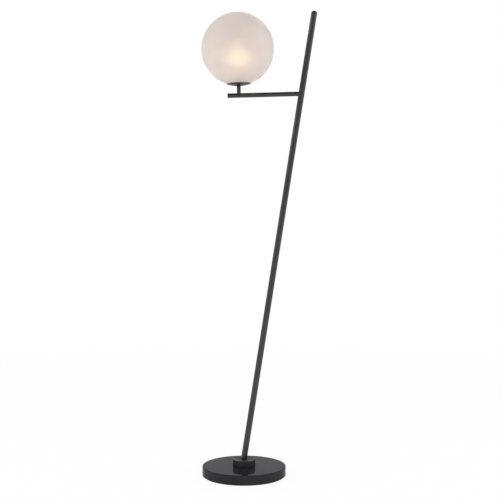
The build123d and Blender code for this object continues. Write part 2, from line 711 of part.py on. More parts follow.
# Bulb cap: screw shell, turned in at the bottom
with BuildPart() as bulb_cap:
    with BuildSketch(head_section):
        with BuildLine():
            Polyline(
                (bulb_cap_radius - BULB_CAP_LIP - BULB_CAP_WALL, bulb_cap_bottom),
                (bulb_cap_radius - BULB_CAP_LIP, bulb_cap_bottom),
                (bulb_cap_radius, bulb_cap_bottom + BULB_CAP_LIP),
                (bulb_cap_radius, bulb_cap_top),
                (bulb_cap_radius - BULB_CAP_WALL, bulb_cap_top),
                (bulb_cap_radius - BULB_CAP_WALL, bulb_cap_bottom + BULB_CAP_LIP),
                close=True,
            )
        make_face()
    revolve(axis=head_axis)
bulb_cap.part.label = "bulb_cap"
export_step(bulb_cap.part, "parts/bulb_cap.step")

# Bulb insulator: cone between the screw shell and the tip
with BuildPart() as bulb_insulator:
    with BuildSketch(head_section):
        with BuildLine():
            Polyline(
                (0, insulator_bottom),
                (CONTACT_DIAMETER / 2, insulator_bottom),
                (bulb_cap_radius - BULB_CAP_LIP, bulb_cap_bottom),
                (0, bulb_cap_bottom),
                close=True,
            )
        make_face()
    revolve(axis=head_axis)
bulb_insulator.part.label = "bulb_insulator"
export_step(bulb_insulator.part, "parts/bulb_insulator.step")

# Bulb contact: button at the tip
with BuildPart() as bulb_contact:
    with BuildSketch(head_plane.offset(bulb_tip)):
        Circle(CONTACT_DIAMETER / 2)
    extrude(amount=CONTACT_HEIGHT)
bulb_contact.part.label = "bulb_contact"
export_step(bulb_contact.part, "parts/bulb_contact.step")
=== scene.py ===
import bpy
import json
from math import asin, atan2, cos, pi, radians, sin, sqrt
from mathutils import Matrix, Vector


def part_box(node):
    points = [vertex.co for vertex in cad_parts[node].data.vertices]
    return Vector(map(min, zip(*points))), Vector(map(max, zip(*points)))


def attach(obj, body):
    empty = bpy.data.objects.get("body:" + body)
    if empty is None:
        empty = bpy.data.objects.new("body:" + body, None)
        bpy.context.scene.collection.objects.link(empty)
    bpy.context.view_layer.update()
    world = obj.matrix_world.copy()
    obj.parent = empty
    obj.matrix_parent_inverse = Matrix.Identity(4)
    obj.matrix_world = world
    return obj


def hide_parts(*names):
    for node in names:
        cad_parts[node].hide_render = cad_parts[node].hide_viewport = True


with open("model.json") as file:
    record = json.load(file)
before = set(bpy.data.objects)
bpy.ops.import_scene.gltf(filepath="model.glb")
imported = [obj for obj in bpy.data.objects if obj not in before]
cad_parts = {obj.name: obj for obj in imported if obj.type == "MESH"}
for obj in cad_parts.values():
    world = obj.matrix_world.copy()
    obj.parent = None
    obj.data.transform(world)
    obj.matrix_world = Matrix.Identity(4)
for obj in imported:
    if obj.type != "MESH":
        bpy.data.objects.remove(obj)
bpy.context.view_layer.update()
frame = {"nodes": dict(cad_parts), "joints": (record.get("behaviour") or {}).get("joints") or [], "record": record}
bpy.ops.object.select_all(action="DESELECT")

# Floor lamp: polished stone base, turned collar, leaning tube pole, short side arm,
# and a frosted glass globe with a lit bulb on a stem. Metres, +Z up.

# Walls, bores and eased edges of the pieces, which the frame's outer sizes don't give.
# Base
SLAB_EDGE = 0.0025
SLAB_FOOT = 0.0015
SLAB_RECESS = 0.042
SLAB_RECESS_DEPTH = 0.022
SLAB_HOLE_ROOM = 0.0005
SLAB_UNDER_COLLAR = 0.006
FELT_EDGE = 0.0008
GROMMET_BUSH = 0.005
GROMMET_FLANGE = 0.002
GROMMET_EDGE = 0.0006
GROMMET_BAND = 0.001
CORD_HOLE = 0.00325
COLLAR_RIM = 0.002
COLLAR_FOOT = 0.0005
COLLAR_FLOOR = 0.0062
COLLAR_LAND = 0.0018
COLLAR_EDGE = 0.0002
SCREW_HOLE = 0.00255

# Pole, arm and stem
NIPPLE_HOLE = 0.00505
POLE_WALL = 0.0015
ARM_BORE = 0.0035
ARM_THREAD = 0.024
ARM_DROOP = radians(1.5)
ARM_HOLE_BAND = 0.0065
ARM_CAP_EDGE = 0.0005
STEM_HOLE_BAND = 0.0058
COPE_ROOM = 0.0015
SADDLE_ROOM = 0.0008

# Dish and globe
DISH_WALL = 0.0009
DISH_FLOOR = 0.026
DISH_LAND = 0.007
DISH_LIP = 0.0003
LINING_EDGE = 0.0001
GLOBE_WALL = 0.003
GLOBE_OPENING = 0.0325
GLOBE_LIP = 0.0009

# Lampholder and bulb
HOLDER_WALL = 0.002
HOLDER_STEP = 0.002
HOLDER_FOOT = 0.012
HOLDER_FLOOR = 0.003
HOLDER_FLANK = 0.009
HOLDER_MOUTH = 0.0141
HOLDER_RIM = 0.005
HOLDER_EDGE = 0.0005
GRIP_START = 0.006
GRIP_END = 0.008
GRIP_COLUMNS = 144
GRIP_PITCH = 6
GRIP_INSET = 0.0002
GRIP_DEPTH = 0.0006
GRIP_EDGE = 0.0002
BULB_NECK = 0.0134
BULB_NECK_ROUND = 0.01
BULB_WALL = 0.001
SHELL_FOOT = 0.0016
SHELL_TAPER = 0.9
SHELL_RIM = 0.0022
SHELL_WALL = 0.0004
THREAD_PITCH = 0.0036
THREAD_DEPTH = 0.0009
THREAD_POINTS = 10
THREAD_STEPS = 64

# Fits, and how far the tools reach
HAIRLINE = 0.0003
FIT = 0.00005
HOLD = 0.0008
FINE_HOLD = 0.0006
DRILL_PAST = 0.01
DRILL_SHORT = 0.03
DRILL_LONG = 0.06
CORD_RUN_IN = 0.1
CORD_RUN_OUT = 0.05
SEED_SIZE = 0.001
WELD = 0.000002
TOLERANCE = 0.000005
SHARP_EDGE = radians(25)

# Studio
FLOOR_SIZE = 24
FLOOR_GAP = 0.0003
FADE_START = 1.2
FADE_END = 4.0
SOFT_BOX_SIDE = 2.2
SOFT_BOX_FRONT = -0.3
SOFT_BOX_HEIGHT = 2.2
SOFT_BOX_SIZE = 1.2
SOFT_BOX_ENERGY = 9.0
SOFT_BOX_AIM = Vector((0, 0, 0.8))
CAMERA_PLACE = (0.020, -3.4336, 0.8865)
CAMERA_TILT = radians(87.852)
CAMERA_LENS = 74.16
CAMERA_SENSOR = 36.0


# Places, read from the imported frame

def reach(node, foot, up):
    """Lowest height, highest height and widest radius of a CAD node about an axis."""
    heights = []
    radii = []
    for vertex in frame["nodes"][node].data.vertices:
        away = vertex.co - foot
        height = away.dot(up)
        heights.append(height)
        radii.append((away - up * height).length)
    return min(heights), max(heights), max(radii)


def middle_of(node):
    """Middle of a CAD node's box."""
    low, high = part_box(node)
    return (low + high) / 2


def crossing(point, along, foot, up):
    """Where a line in the lamp's own plane meets an axis."""
    square = Vector((along.z, 0, -along.x))
    return foot + up * ((point - foot).dot(square) / up.dot(square))


joints = {joint["name"]: joint for joint in frame["joints"]}
upright = Vector((0, 0, 1))
backward = Vector((0, 1, 0))
floor_point = Vector((0, 0, 0))

slab_low, slab_high, slab_radius = reach("base_slab", floor_point, upright)
felt_low, felt_high, felt_radius = reach("base_felt", floor_point, upright)
collar_low, collar_high, collar_radius = reach("base_collar", floor_point, upright)
grommet_low, grommet_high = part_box("cable_grommet")
grommet_foot = Vector((0, grommet_low.y, (grommet_low.z + grommet_high.z) / 2))
grommet_length = grommet_high.y - grommet_low.y
grommet_radius = (grommet_high.z - grommet_low.z) / 2
screw_centre = middle_of("collar_set_screw")

tip_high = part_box("pole_tip")[1]
pole_radius = tip_high.y
pole_foot = Vector((0, 0, collar_high))
dome_centre = Vector((tip_high.x - pole_radius, 0, tip_high.z - pole_radius))
pole_up = (dome_centre - pole_foot).normalized()
pole_low, pole_high = reach("pole_tube", pole_foot, pole_up)[:2]
spigot_low = reach("pole_tip", pole_foot, pole_up)[0]

head_up = Vector(joints["globe_lift"]["axis"]).normalized()
head_foot = Vector(joints["bulb_turn"]["pos_m"])
arm_middle = middle_of("arm_nipple")
arm_out = Vector((-cos(ARM_DROOP), 0, -sin(ARM_DROOP)))
arm_root = crossing(arm_middle, arm_out, pole_foot, pole_up)
stem_foot = crossing(arm_middle, arm_out, head_foot, head_up)
pole_to_arm = (arm_root - pole_foot).dot(pole_up)
stem_reach = (stem_foot - arm_root).dot(arm_out)
arm_high, arm_radius = reach("arm_bar", arm_root, arm_out)[1:]
cap_low, cap_high = reach("arm_end_cap", arm_root, arm_out)[:2]

stem_high, stem_radius = reach("stem_tube", stem_foot, head_up)[1:]
dish_low, _, dish_radius = reach("gallery_dish", stem_foot, head_up)
globe_high, globe_radius = reach("globe_shade", stem_foot, head_up)[1:]
globe_centre = globe_high - globe_radius
holder_low, holder_high, holder_radius = reach("holder_cap", stem_foot, head_up)
skirt_low, skirt_high = reach("holder_skirt", stem_foot, head_up)[:2]
insert_low = reach("holder_insert", stem_foot, head_up)[0]
ball_low, ball_high, ball_radius = reach("bulb_envelope", stem_foot, head_up)
shell_low, shell_high, shell_radius = reach("bulb_cap", stem_foot, head_up)


# Bench work

def started(name):
    """Names the primitive that was just added and sets its place into its mesh."""
    piece = bpy.context.object
    piece.name = name
    piece.data.name = name
    bpy.ops.object.transform_apply(location=True, rotation=True, scale=True)
    return piece


def chosen(piece):
    """Selects one piece alone and makes it the active one."""
    bpy.ops.object.select_all(action="DESELECT")
    piece.select_set(True)
    bpy.context.view_layer.objects.active = piece


def drawn(name, profile):
    """Draws a line of (radius, height) points beside the +Z axis, and stays in edit mode."""
    radius, height = profile[0]
    bpy.ops.object.select_all(action="DESELECT")
    bpy.ops.mesh.primitive_plane_add(size=SEED_SIZE, location=(radius, 0, height))
    piece = started(name)
    bpy.ops.object.mode_set(mode="EDIT")
    bpy.ops.mesh.select_mode(type="VERT")
    bpy.ops.mesh.select_all(action="SELECT")
    bpy.ops.mesh.merge(type="CENTER")
    for next_radius, next_height in profile[1:]:
        move = (next_radius - radius, 0, next_height - height)
        bpy.ops.mesh.extrude_region_move(TRANSFORM_OT_translate={"value": move})
        radius, height = next_radius, next_height
    return piece


def welded():
    """Merges the points that meet and clears loose edges away, in edit mode."""
    bpy.ops.mesh.select_all(action="SELECT")
    bpy.ops.mesh.remove_doubles(threshold=WELD)
    bpy.ops.mesh.delete_loose()


def turned(name, profile, steps=96):
    """Turns a piece about +Z from a line of (radius, height) points."""
    piece = drawn(name, profile)
    bpy.ops.mesh.select_all(action="SELECT")
    bpy.ops.mesh.spin(steps=steps, angle=2 * pi, center=(0, 0, 0), axis=(0, 0, 1))
    welded()
    bpy.ops.mesh.normals_make_consistent(inside=False)
    bpy.ops.object.mode_set(mode="OBJECT")
    return piece


def ring(profile):
    """A closed outline, ready to be turned."""
    return profile + profile[:1]


def held(outline, gap=HOLD):
    """Adds a point near each end of a long run, so that its flat stays flat up to the corner."""
    points = outline[:1]
    for start, end in zip(outline, outline[1:]):
        run = Vector(end) - Vector(start)
        if run.length > 4 * gap:
            near = run.normalized() * gap
            points += [tuple(Vector(start) + near), tuple(Vector(end) - near)]
        points.append(end)
    return points


def arc(centre, radius, start, end, steps):
    """Points (radius, height) round a centre on the turning axis or beside it."""
    points = []
    for step in range(steps + 1):
        angle = start + (end - start) * step / steps
        points.append((centre[0] + radius * cos(angle), centre[1] + radius * sin(angle)))
    return points


def cleared(kind):
    """Goes to edit mode with nothing selected, to pick faces or edges."""
    bpy.ops.object.mode_set(mode="EDIT")
    bpy.ops.mesh.select_mode(type=kind)
    bpy.ops.mesh.select_all(action="DESELECT")


def pick_faces(piece, test):
    """Selects the faces whose centres pass a test, in edit mode."""
    cleared("FACE")
    bpy.ops.object.mode_set(mode="OBJECT")
    for face in piece.data.polygons:
        face.select = test(face.center)
    bpy.ops.object.mode_set(mode="EDIT")


def pick_edges(piece, test):
    """Selects the edges whose two ends both pass a test, in edit mode."""
    cleared("EDGE")
    bpy.ops.object.mode_set(mode="OBJECT")
    points = piece.data.vertices
    for edge in piece.data.edges:
        edge.select = all(test(points[index].co) for index in edge.vertices)
    bpy.ops.object.mode_set(mode="EDIT")


def rounded(width, segments):
    """Rounds the selected edges and leaves edit mode."""
    bpy.ops.mesh.bevel(offset=width, offset_type="OFFSET", segments=segments, profile=0.5)
    bpy.ops.object.mode_set(mode="OBJECT")


def eased(width, segments):
    """Rounds every sharp edge of the active piece a little."""
    cleared("EDGE")
    bpy.ops.mesh.edges_select_sharp(sharpness=SHARP_EDGE)
    rounded(width, segments)


def set_up(piece, foot, up):
    """Stands a piece that was made about +Z on its own axis."""
    chosen(piece)
    piece.rotation_mode = "QUATERNION"
    piece.rotation_quaternion = upright.rotation_difference(up)
    piece.location = foot
    bpy.ops.object.transform_apply(location=True, rotation=True, scale=True)


def drilled(piece, radius, start, end, vertices=64):
    """Takes a round bar from start to end out of a piece."""
    along = end - start
    bpy.ops.object.select_all(action="DESELECT")
    bpy.ops.mesh.primitive_cylinder_add(vertices=vertices, radius=radius, depth=along.length)
    drill = started("drill")
    set_up(drill, (start + end) / 2, along.normalized())
    cut = piece.modifiers.new("drill", "BOOLEAN")
    cut.operation = "DIFFERENCE"
    cut.solver = "EXACT"
    cut.object = drill
    chosen(piece)
    bpy.ops.object.modifier_apply(modifier=cut.name)
    bpy.data.objects.remove(drill)
    bpy.ops.object.mode_set(mode="EDIT")
    welded()
    bpy.ops.object.mode_set(mode="OBJECT")


# Shader nodes

def value_of(tree, socket, value):
    """Links a socket or sets its value."""
    if isinstance(value, bpy.types.NodeSocket):
        tree.links.new(value, socket)
    else:
        socket.default_value = value


def add(tree, kind, inputs, output):
    """Adds a node with its inputs linked or set, and gives back one of its outputs."""
    node = tree.nodes.new(kind)
    for name, value in inputs.items():
        value_of(tree, node.inputs[name], value)
    return node.outputs[output]


def noise(tree, vector, scale, detail=2.0, roughness=0.5, distortion=0.0):
    """Soft noise between 0 and 1."""
    inputs = {"Vector": vector, "Scale": scale, "Detail": detail, "Roughness": roughness,
              "Distortion": distortion}
    return add(tree, "ShaderNodeTexNoise", inputs, "Fac")


def ranged(tree, value, low, high, to_low=0.0, to_high=1.0):
    """Stretches one range of values over another and stops at its ends."""
    inputs = {"Value": value, "From Min": low, "From Max": high, "To Min": to_low,
              "To Max": to_high}
    return add(tree, "ShaderNodeMapRange", inputs, "Result")


def maths(tree, operation, first, second=0.0):
    """One sum with two values."""
    node = tree.nodes.new("ShaderNodeMath")
    node.operation = operation
    value_of(tree, node.inputs[0], first)
    value_of(tree, node.inputs[1], second)
    return node.outputs[0]


def product(tree, first, second):
    """One value times another."""
    return maths(tree, "MULTIPLY", first, second)


def mixed(tree, factor, first, second):
    """A colour between two colours."""
    node = tree.nodes.new("ShaderNodeMix")
    node.data_type = "RGBA"
    value_of(tree, node.inputs[0], factor)
    value_of(tree, node.inputs[6], first)
    value_of(tree, node.inputs[7], second)
    return node.outputs[2]


def blended(tree, factor, first, second):
    """A shader between two shaders."""
    node = tree.nodes.new("ShaderNodeMixShader")
    value_of(tree, node.inputs[0], factor)
    value_of(tree, node.inputs[1], first)
    value_of(tree, node.inputs[2], second)
    return node.outputs[0]


def distance(tree, place, point):
    """How far a place is from a point."""
    node = tree.nodes.new("ShaderNodeVectorMath")
    node.operation = "DISTANCE"
    value_of(tree, node.inputs[0], place)
    value_of(tree, node.inputs[1], point)
    return node.outputs["Value"]


def stretched(tree, vector, scale):
    """Coordinates that a pattern is squeezed along."""
    return add(tree, "ShaderNodeMapping", {"Vector": vector, "Scale": scale}, "Vector")


def part_of(tree, vector, axis):
    """One coordinate of a vector."""
    return add(tree, "ShaderNodeSeparateXYZ", {"Vector": vector}, axis)


def facing_up(tree):
    """1 on a level top, 0 on an upright side and -1 on an underside."""
    normal = tree.nodes.new("ShaderNodeNewGeometry").outputs["Normal"]
    return part_of(tree, normal, "Z")


# Shared effects of the finishes

def effect(name, outputs, **values):
    """A node group with a vector and some values going in, and values coming out."""
    group = bpy.data.node_groups.new(name, "ShaderNodeTree")
    group.interface.new_socket("Vector", in_out="INPUT", socket_type="NodeSocketVector")
    for label, value in values.items():
        socket = group.interface.new_socket(label, in_out="INPUT", socket_type="NodeSocketFloat")
        socket.default_value = value
    for label in outputs:
        group.interface.new_socket(label, in_out="OUTPUT", socket_type="NodeSocketFloat")
    given = group.nodes.new("NodeGroupInput").outputs
    result = group.nodes.new("NodeGroupOutput").inputs
    return group, given, result


def make_fine_grain():
    """Fine grain of a coated, cast or moulded surface, with broader clouds under it."""
    group, given, result = effect("fine_grain", ["Grain", "Clouds"], Scale=900.0, Contrast=0.2)
    fine = noise(group, given["Vector"], given["Scale"], detail=3.0, roughness=0.6)
    low = maths(group, "SUBTRACT", 0.5, given["Contrast"])
    high = maths(group, "ADD", 0.5, given["Contrast"])
    group.links.new(ranged(group, fine, low, high), result["Grain"])
    broad_scale = product(group, given["Scale"], 0.03)
    broad = noise(group, given["Vector"], broad_scale)
    group.links.new(ranged(group, broad, 0.35, 0.65), result["Clouds"])
    return group


def make_edge_wear():
    """Mask of the outer edges, broken up so that they look rubbed, not drawn."""
    group, given, result = effect("edge_wear", ["Mask"], Start=0.52, End=0.6, Amount=1.0)
    edge = group.nodes.new("ShaderNodeNewGeometry").outputs["Pointiness"]
    sharp = ranged(group, edge, given["Start"], given["End"])
    rubs = noise(group, given["Vector"], 220.0, detail=3.0)
    broken = ranged(group, rubs, 0.3, 0.7, 0.35, 1.0)
    mask = product(group, sharp, broken)
    group.links.new(product(group, mask, given["Amount"]), result["Mask"])
    return group


def make_handling():
    """Roughness that wanders a little, as on a surface that is wiped and handled."""
    group, given, result = effect("handling", ["Roughness"], Scale=14.0, Low=0.3, High=0.4)
    smear = noise(group, given["Vector"], given["Scale"], detail=4.0, roughness=0.6, distortion=0.6)
    wander = ranged(group, smear, 0.3, 0.7, given["Low"], given["High"])
    group.links.new(wander, result["Roughness"])
    return group


def make_light_dust():
    """Mask of the thin dust that settles on what faces up."""
    group, given, result = effect("light_dust", ["Mask"], Amount=0.1)
    level = ranged(group, facing_up(group), 0.5, 1.0)
    settled = noise(group, given["Vector"], 60.0, detail=5.0, roughness=0.7)
    motes = ranged(group, settled, 0.42, 0.72)
    mask = product(group, level, motes)
    group.links.new(product(group, mask, given["Amount"]), result["Mask"])
    return group


fine_grain = make_fine_grain()
edge_wear = make_edge_wear()
handling = make_handling()
light_dust = make_light_dust()


# Finishes

STONE_FLECK = (0.06, 0.059, 0.063, 1)
STONE_EDGE = (0.06, 0.06, 0.062, 1)
STONE_DUST = (0.2, 0.195, 0.19, 1)
LACQUER_GRAIN = (0.093, 0.0925, 0.0912, 1)
LACQUER_WORN = (0.2, 0.195, 0.188, 1)
LACQUER_DUST = (0.3, 0.29, 0.28, 1)
# Lighter bare metal for the collar's rim chamfer: partly rubbed wear, partly a painted highlight.
COLLAR_BARE_AND_HIGHLIGHT = (0.3, 0.292, 0.28, 1)
DISH_WHITE = (0.88, 0.87, 0.85, 1)
GLASS_COOL = (0.7, 0.76, 0.8, 1)
GLASS_SCATTER = (0.96, 0.925, 0.922, 1)
GLASS_SCATTER_SHARE = 0.29
BULB_SEEN = (0.105, 0.073, 0.028, 1)
FLOOR_WHITE = (0.9, 0.9, 0.9, 1)
WHITE = (1, 1, 1, 1)


def finish(name, **constants):
    """A material whose shader has its plain values set on its own sockets."""
    material = bpy.data.materials.new(name)
    material.use_nodes = True
    tree = material.node_tree
    shader = tree.nodes["Principled BSDF"]
    for label, value in constants.items():
        shader.inputs[label.replace("_", " ")].default_value = value
    place = tree.nodes.new("ShaderNodeTexCoord").outputs["Object"]
    return material, tree, shader.inputs, place


def use(tree, group, vector, **values):
    """Places a shared effect in a material, with the material's own values."""
    node = tree.nodes.new("ShaderNodeGroup")
    node.node_tree = group
    tree.links.new(vector, node.inputs["Vector"])
    for label, value in values.items():
        node.inputs[label].default_value = value
    return node.outputs


def wiped(tree, sockets, place, scale, low, high):
    """Lets a finish's roughness wander between two values."""
    wander = use(tree, handling, place, Scale=scale, Low=low, High=high)
    tree.links.new(wander["Roughness"], sockets["Roughness"])


def bumped(tree, sockets, height, strength, depth):
    """Raises a finish by a fine pattern."""
    inputs = {"Strength": strength, "Distance": depth, "Height": height}
    tree.links.new(add(tree, "ShaderNodeBump", inputs, "Normal"), sockets["Normal"])


def make_polished_stone():
    """Dark stone with clouds, flecks and veins, polished on top and lighter at its side."""
    material, tree, shader, place = finish("polished_stone", IOR=1.08)
    honed = ranged(tree, maths(tree, "ABSOLUTE", facing_up(tree)), 0.9, 0.3)
    swirls = noise(tree, place, 16.0, detail=6.0, roughness=0.6, distortion=0.8)
    clouds = ranged(tree, swirls, 0.35, 0.68)
    polished = mixed(tree, clouds, (0.0225, 0.0215, 0.029, 1), (0.0295, 0.0285, 0.0368, 1))
    sawn = mixed(tree, clouds, (0.054, 0.0533, 0.0575, 1), (0.0713, 0.0703, 0.0755, 1))
    ground = mixed(tree, honed, polished, sawn)
    cells = add(tree, "ShaderNodeTexVoronoi", {"Vector": place, "Scale": 420.0}, "Distance")
    flecks = ranged(tree, cells, 0.26, 0.1)
    patches = ranged(tree, noise(tree, place, 45.0, detail=3.0), 0.5, 0.7)
    speckle = product(tree, product(tree, flecks, patches), 0.22)
    speckled = mixed(tree, speckle, ground, STONE_FLECK)
    drift = noise(tree, place, 5.0, detail=5.0, roughness=0.55, distortion=2.2)
    off_vein = maths(tree, "ABSOLUTE", maths(tree, "SUBTRACT", drift, 0.5))
    vein = ranged(tree, off_vein, 0.018, 0.0)
    veined = mixed(tree, product(tree, vein, 0.15), speckled, STONE_FLECK)
    worn = use(tree, edge_wear, place, Start=0.505, End=0.54, Amount=0.3)["Mask"]
    edged = mixed(tree, worn, veined, STONE_EDGE)
    dusty = use(tree, light_dust, place, Amount=0.03)["Mask"]
    tree.links.new(mixed(tree, dusty, edged, STONE_DUST), shader["Base Color"])
    gloss = use(tree, handling, place, Scale=11.0, Low=0.06, High=0.13)["Roughness"]
    tree.links.new(maths(tree, "ADD", gloss, product(tree, honed, 0.1)), shader["Roughness"])
    return material


def make_dark_lacquer(name, sheen=0.85, rim=False, lining=False):
    """Dark satin lacquer on metal, worn at edges, bare on a rim where the lighter metal is partly rubbed wear and
    partly a painted highlight, or white inside the dish.
    """
    tint = (sheen, sheen, sheen, 1)
    material, tree, shader, place = finish(name, Metallic=1.0, Specular_Tint=tint)
    grain = use(tree, fine_grain, place, Scale=1500.0, Contrast=0.22)
    coat = mixed(tree, grain["Clouds"], (0.07, 0.0696, 0.0687, 1), (0.08, 0.0796, 0.0786, 1))
    toned = mixed(tree, product(tree, grain["Grain"], 0.25), coat, LACQUER_GRAIN)
    worn = use(tree, edge_wear, place, Start=0.53, End=0.6, Amount=0.35)["Mask"]
    edged = mixed(tree, worn, toned, LACQUER_WORN)
    dusty = use(tree, light_dust, place, Amount=0.03)["Mask"]
    colour = mixed(tree, dusty, edged, LACQUER_DUST)
    if rim:
        # Painted highlight: the upward chamfer of the rim turns lighter bare metal, partly real rubbed wear and
        # partly a painted highlight.
        facing = facing_up(tree)
        chamfer_highlight_slope = product(tree, ranged(tree, facing, 0.4, 0.6), ranged(tree, facing, 0.95, 0.8))
        rubbed = ranged(tree, noise(tree, place, 120.0, detail=3.0), 0.25, 0.75, 0.5, 1.0)
        colour = mixed(tree, product(tree, chamfer_highlight_slope, rubbed), colour, COLLAR_BARE_AND_HIGHLIGHT)
    if lining:
        away = distance(tree, place, stem_foot + head_up * globe_centre)
        mid_wall = globe_centre - dish_low - DISH_WALL / 2
        outside = ranged(tree, away, mid_wall - LINING_EDGE, mid_wall)
        colour = mixed(tree, outside, DISH_WHITE, colour)
        tree.links.new(outside, shader["Metallic"])
    tree.links.new(colour, shader["Base Color"])
    wiped(tree, shader, place, 18.0, 0.36, 0.46)
    bumped(tree, shader, grain["Grain"], 0.05, 0.0001)
    return material


def make_frosted_glass():
    """Etched white glass that scatters part of the light and is cooler where it is seen edge-on, except near the
    bottom, which keeps its warm white as painted light from below.
    """
    material, tree, shader, place = finish("etched_glass", Transmission_Weight=0.75, IOR=1.4)
    blotches = noise(tree, place, 70.0, detail=4.0, roughness=0.6, distortion=0.3)
    cast = ranged(tree, blotches, 0.3, 0.7)
    white = mixed(tree, cast, (0.93, 0.888, 0.868, 1), (0.97, 0.933, 0.914, 1))
    facing = add(tree, "ShaderNodeLayerWeight", {"Blend": 0.5}, "Facing")
    edge_on = ranged(tree, facing, 0.3, 0.95)
    # Painted light: the edge-on tint fades out on the lower glass, so the bottom stays warmer and brighter as if
    # lit from below.
    above_painted_lit_bottom = ranged(tree, facing_up(tree), -0.95, -0.3)
    edge_cool_and_painted_lit_bottom = product(tree, edge_on, above_painted_lit_bottom)
    tree.links.new(mixed(tree, edge_cool_and_painted_lit_bottom, white, GLASS_COOL), shader["Base Color"])
    wiped(tree, shader, place, 90.0, 0.65, 0.77)
    frost = use(tree, fine_grain, place, Scale=1200.0, Contrast=0.25)
    height = maths(tree, "ADD", product(tree, frost["Grain"], 0.3), blotches)
    bumped(tree, shader, height, 0.15, 0.001)
    surface = tree.nodes["Material Output"].inputs["Surface"]
    clear = surface.links[0].from_socket
    scattered = add(tree, "ShaderNodeBsdfTranslucent", {"Color": GLASS_SCATTER}, "BSDF")
    tree.links.new(blended(tree, GLASS_SCATTER_SHARE, clear, scattered), surface)
    return material


def make_bulb_opal():
    """Lit opal glass, dimmer to the camera than to the globe so that its shape still shows."""
    material, tree, shader, place = finish("opal_bulb", Roughness=0.3, Emission_Strength=4.7)
    cast = noise(tree, place, 60.0, detail=3.0)
    opal = mixed(tree, cast, (0.82, 0.77, 0.66, 1), (0.88, 0.83, 0.73, 1))
    tree.links.new(opal, shader["Base Color"])
    glow = mixed(tree, cast, (1.0, 0.714, 0.36, 1), (1.0, 0.75, 0.406, 1))
    bare = tree.nodes.new("ShaderNodeLightPath").outputs["Is Camera Ray"]
    tree.links.new(mixed(tree, bare, glow, BULB_SEEN), shader["Emission Color"])
    return material


def make_black_felt():
    """Pressed black felt with fine fibres."""
    material, tree, shader, place = finish("black_felt", Sheen_Weight=0.4, Sheen_Roughness=0.5)
    flat = stretched(tree, place, (1, 1, 4))
    fibres = noise(tree, flat, 1400.0, detail=5.0, roughness=0.75, distortion=1.5)
    black = mixed(tree, fibres, (0.012, 0.012, 0.012, 1), (0.06, 0.06, 0.06, 1))
    tree.links.new(black, shader["Base Color"])
    tree.links.new(ranged(tree, fibres, 0.2, 0.8, 0.85, 1.0), shader["Roughness"])
    bumped(tree, shader, fibres, 0.8, 0.0008)
    return material


def make_turned_metal(name, dark, light, low, high, scale):
    """Bare metal with fine tool marks and a slightly cloudy surface."""
    material, tree, shader, place = finish(name, Metallic=1.0)
    lathe = stretched(tree, place, (1, 1, 5))
    grain = use(tree, fine_grain, lathe, Scale=scale, Contrast=0.2)
    tone = mixed(tree, grain["Clouds"], dark, light)
    marked = mixed(tree, product(tree, grain["Grain"], 0.25), tone, light)
    tree.links.new(marked, shader["Base Color"])
    wiped(tree, shader, place, 60.0, low, high)
    bumped(tree, shader, grain["Grain"], 0.15, 0.0001)
    return material


def make_moulded(name, dark, light, low, high, scale, depth):
    """Moulded plastic, rubber or ceramic: fine grain, faint clouds and wiped gloss."""
    material, tree, shader, place = finish(name)
    grain = use(tree, fine_grain, place, Scale=scale, Contrast=0.2)
    tone = mixed(tree, grain["Clouds"], dark, light)
    grained = mixed(tree, product(tree, grain["Grain"], 0.3), tone, light)
    tree.links.new(grained, shader["Base Color"])
    wiped(tree, shader, place, 50.0, low, high)
    bumped(tree, shader, grain["Grain"], 0.2, depth)
    return material


finishes = {
    "stone": make_polished_stone(),
    "felt": make_black_felt(),
    "bronze_lacquer": make_dark_lacquer("dark_lacquer"),
    "zinc_steel": make_turned_metal(
        "plated_steel", dark=(0.46, 0.465, 0.48, 1), light=(0.62, 0.62, 0.63, 1),
        low=0.28, high=0.42, scale=1600.0),
    "spring_steel": make_turned_metal(
        "bent_steel", dark=(0.42, 0.42, 0.44, 1), light=(0.56, 0.56, 0.58, 1),
        low=0.2, high=0.32, scale=1200.0),
    "silicone": make_moulded(
        "pale_silicone", dark=(0.68, 0.68, 0.66, 1), light=(0.78, 0.78, 0.76, 1),
        low=0.45, high=0.6, scale=900.0, depth=0.0001),
    "black_rubber": make_moulded(
        "bush_rubber", dark=(0.014, 0.014, 0.014, 1), light=(0.03, 0.03, 0.03, 1),
        low=0.5, high=0.7, scale=1100.0, depth=0.0002),
    "terminal_nylon": make_moulded(
        "white_nylon", dark=(0.72, 0.71, 0.67, 1), light=(0.82, 0.81, 0.77, 1),
        low=0.4, high=0.55, scale=800.0, depth=0.0001),
    "holder_white": make_moulded(
        "white_moulding", dark=(0.86, 0.855, 0.83, 1), light=(0.92, 0.915, 0.89, 1),
        low=0.25, high=0.38, scale=1000.0, depth=0.00005),
    "holder_ceramic": make_moulded(
        "white_ceramic", dark=(0.72, 0.7, 0.65, 1), light=(0.82, 0.8, 0.75, 1),
        low=0.4, high=0.55, scale=700.0, depth=0.0001),
    "contact_brass": make_turned_metal(
        "turned_brass", dark=(0.6, 0.44, 0.2, 1), light=(0.78, 0.6, 0.3, 1),
        low=0.22, high=0.36, scale=1400.0),
    "lead_sheath": make_moulded(
        "pale_sheath", dark=(0.64, 0.63, 0.6, 1), light=(0.74, 0.73, 0.7, 1),
        low=0.4, high=0.55, scale=900.0, depth=0.0001),
    "frosted_glass": make_frosted_glass(),
    "bulb_opal": make_bulb_opal(),
    "bulb_metal": make_turned_metal(
        "bulb_aluminium", dark=(0.66, 0.65, 0.63, 1), light=(0.8, 0.79, 0.76, 1),
        low=0.22, high=0.34, scale=1500.0),
    "bulb_black": make_moulded(
        "black_glaze", dark=(0.012, 0.012, 0.013, 1), light=(0.026, 0.026, 0.028, 1),
        low=0.12, high=0.22, scale=600.0, depth=0.00005),
}
